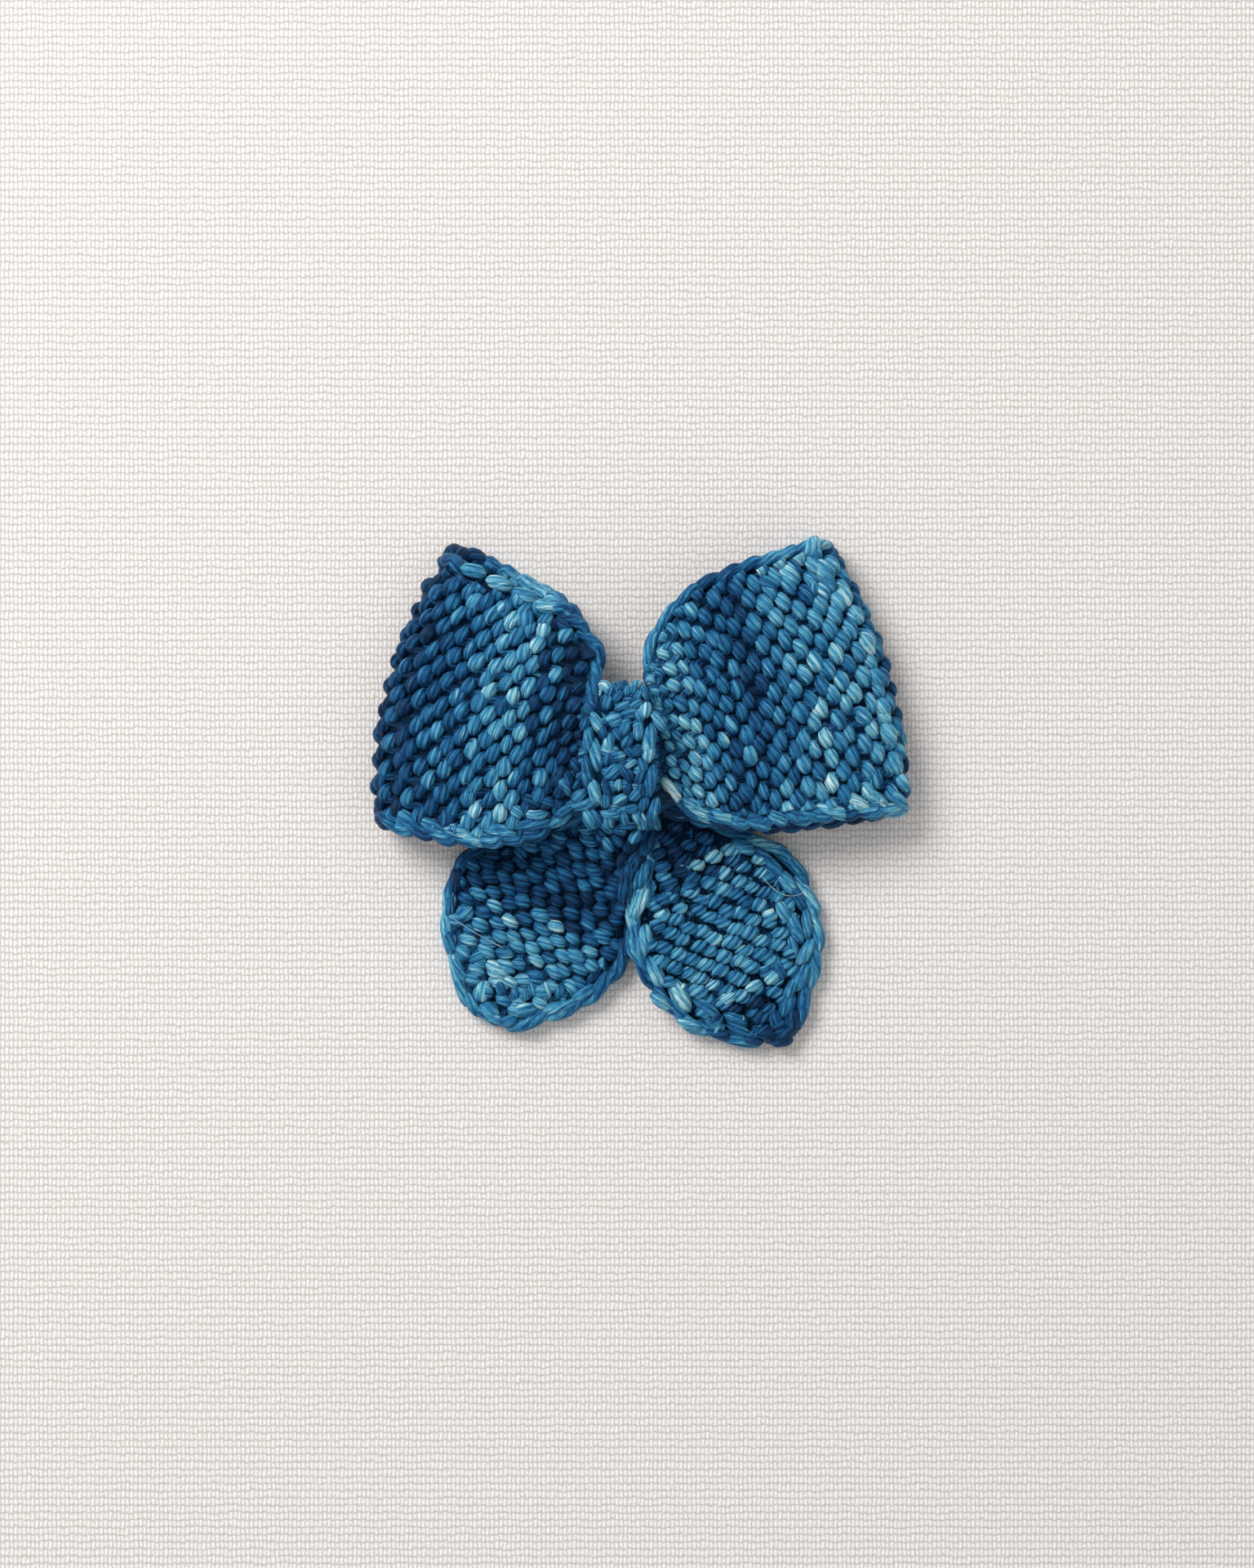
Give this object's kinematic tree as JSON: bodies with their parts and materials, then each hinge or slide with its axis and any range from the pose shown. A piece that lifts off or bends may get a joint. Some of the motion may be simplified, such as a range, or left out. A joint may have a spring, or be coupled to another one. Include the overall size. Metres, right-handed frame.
{
  "type": "hair bow",
  "caption": "Hand-knitted garter-stitch hair bow with two folded loops, a knitted knot and leaf-shaped tails, on a spring clip.",
  "frame": {"origin": "on the surface that the bow lies on, under the middle of its outline", "axes": "+Z away from the clip, out of the bow's front; +X towards the right loop; +Y towards the tops of the loops"},
  "size_m": [0.1126, 0.1066, 0.0242],
  "materials": {
    "loop_knit": "soft hand-dyed wool, garter stitch",
    "knot_knit": "soft hand-dyed wool, garter stitch",
    "tail_knit": "soft hand-dyed wool, garter stitch",
    "binding_yarn": "plied wool yarn",
    "clip_steel": "nickel-plated spring steel sheet",
    "pin_steel": "nickel-plated steel pin",
    "spring_steel": "bright spring wire"
  },
  "bodies": {
    "bow": {"loop_band": "loop_knit", "knot_band": "knot_knit", "left_tail": "tail_knit", "right_tail": "tail_knit", "waist_winding": "binding_yarn", "clip_top_plate": "clip_steel", "clip_hinge_pin": "pin_steel", "clip_torsion_spring": "spring_steel", "binding_stitch_1": "binding_yarn", "binding_stitch_2": "binding_yarn", "binding_stitch_3": "binding_yarn", "binding_stitch_4": "binding_yarn"},
    "prong": {"clip_lower_prong": "clip_steel"}
  },
  "joints": [
    {"name": "clip_hinge", "type": "hinge", "parent": "bow", "child": "prong", "pos_m": [0.00229, 0.00789, 0.0032], "axis": [0, -1, 0], "range_deg": [0, 16], "stiffness_Nm_per_rad": 0.05, "springref_deg": -17.19, "deforming": ["clip_torsion_spring"]}
  ]
}
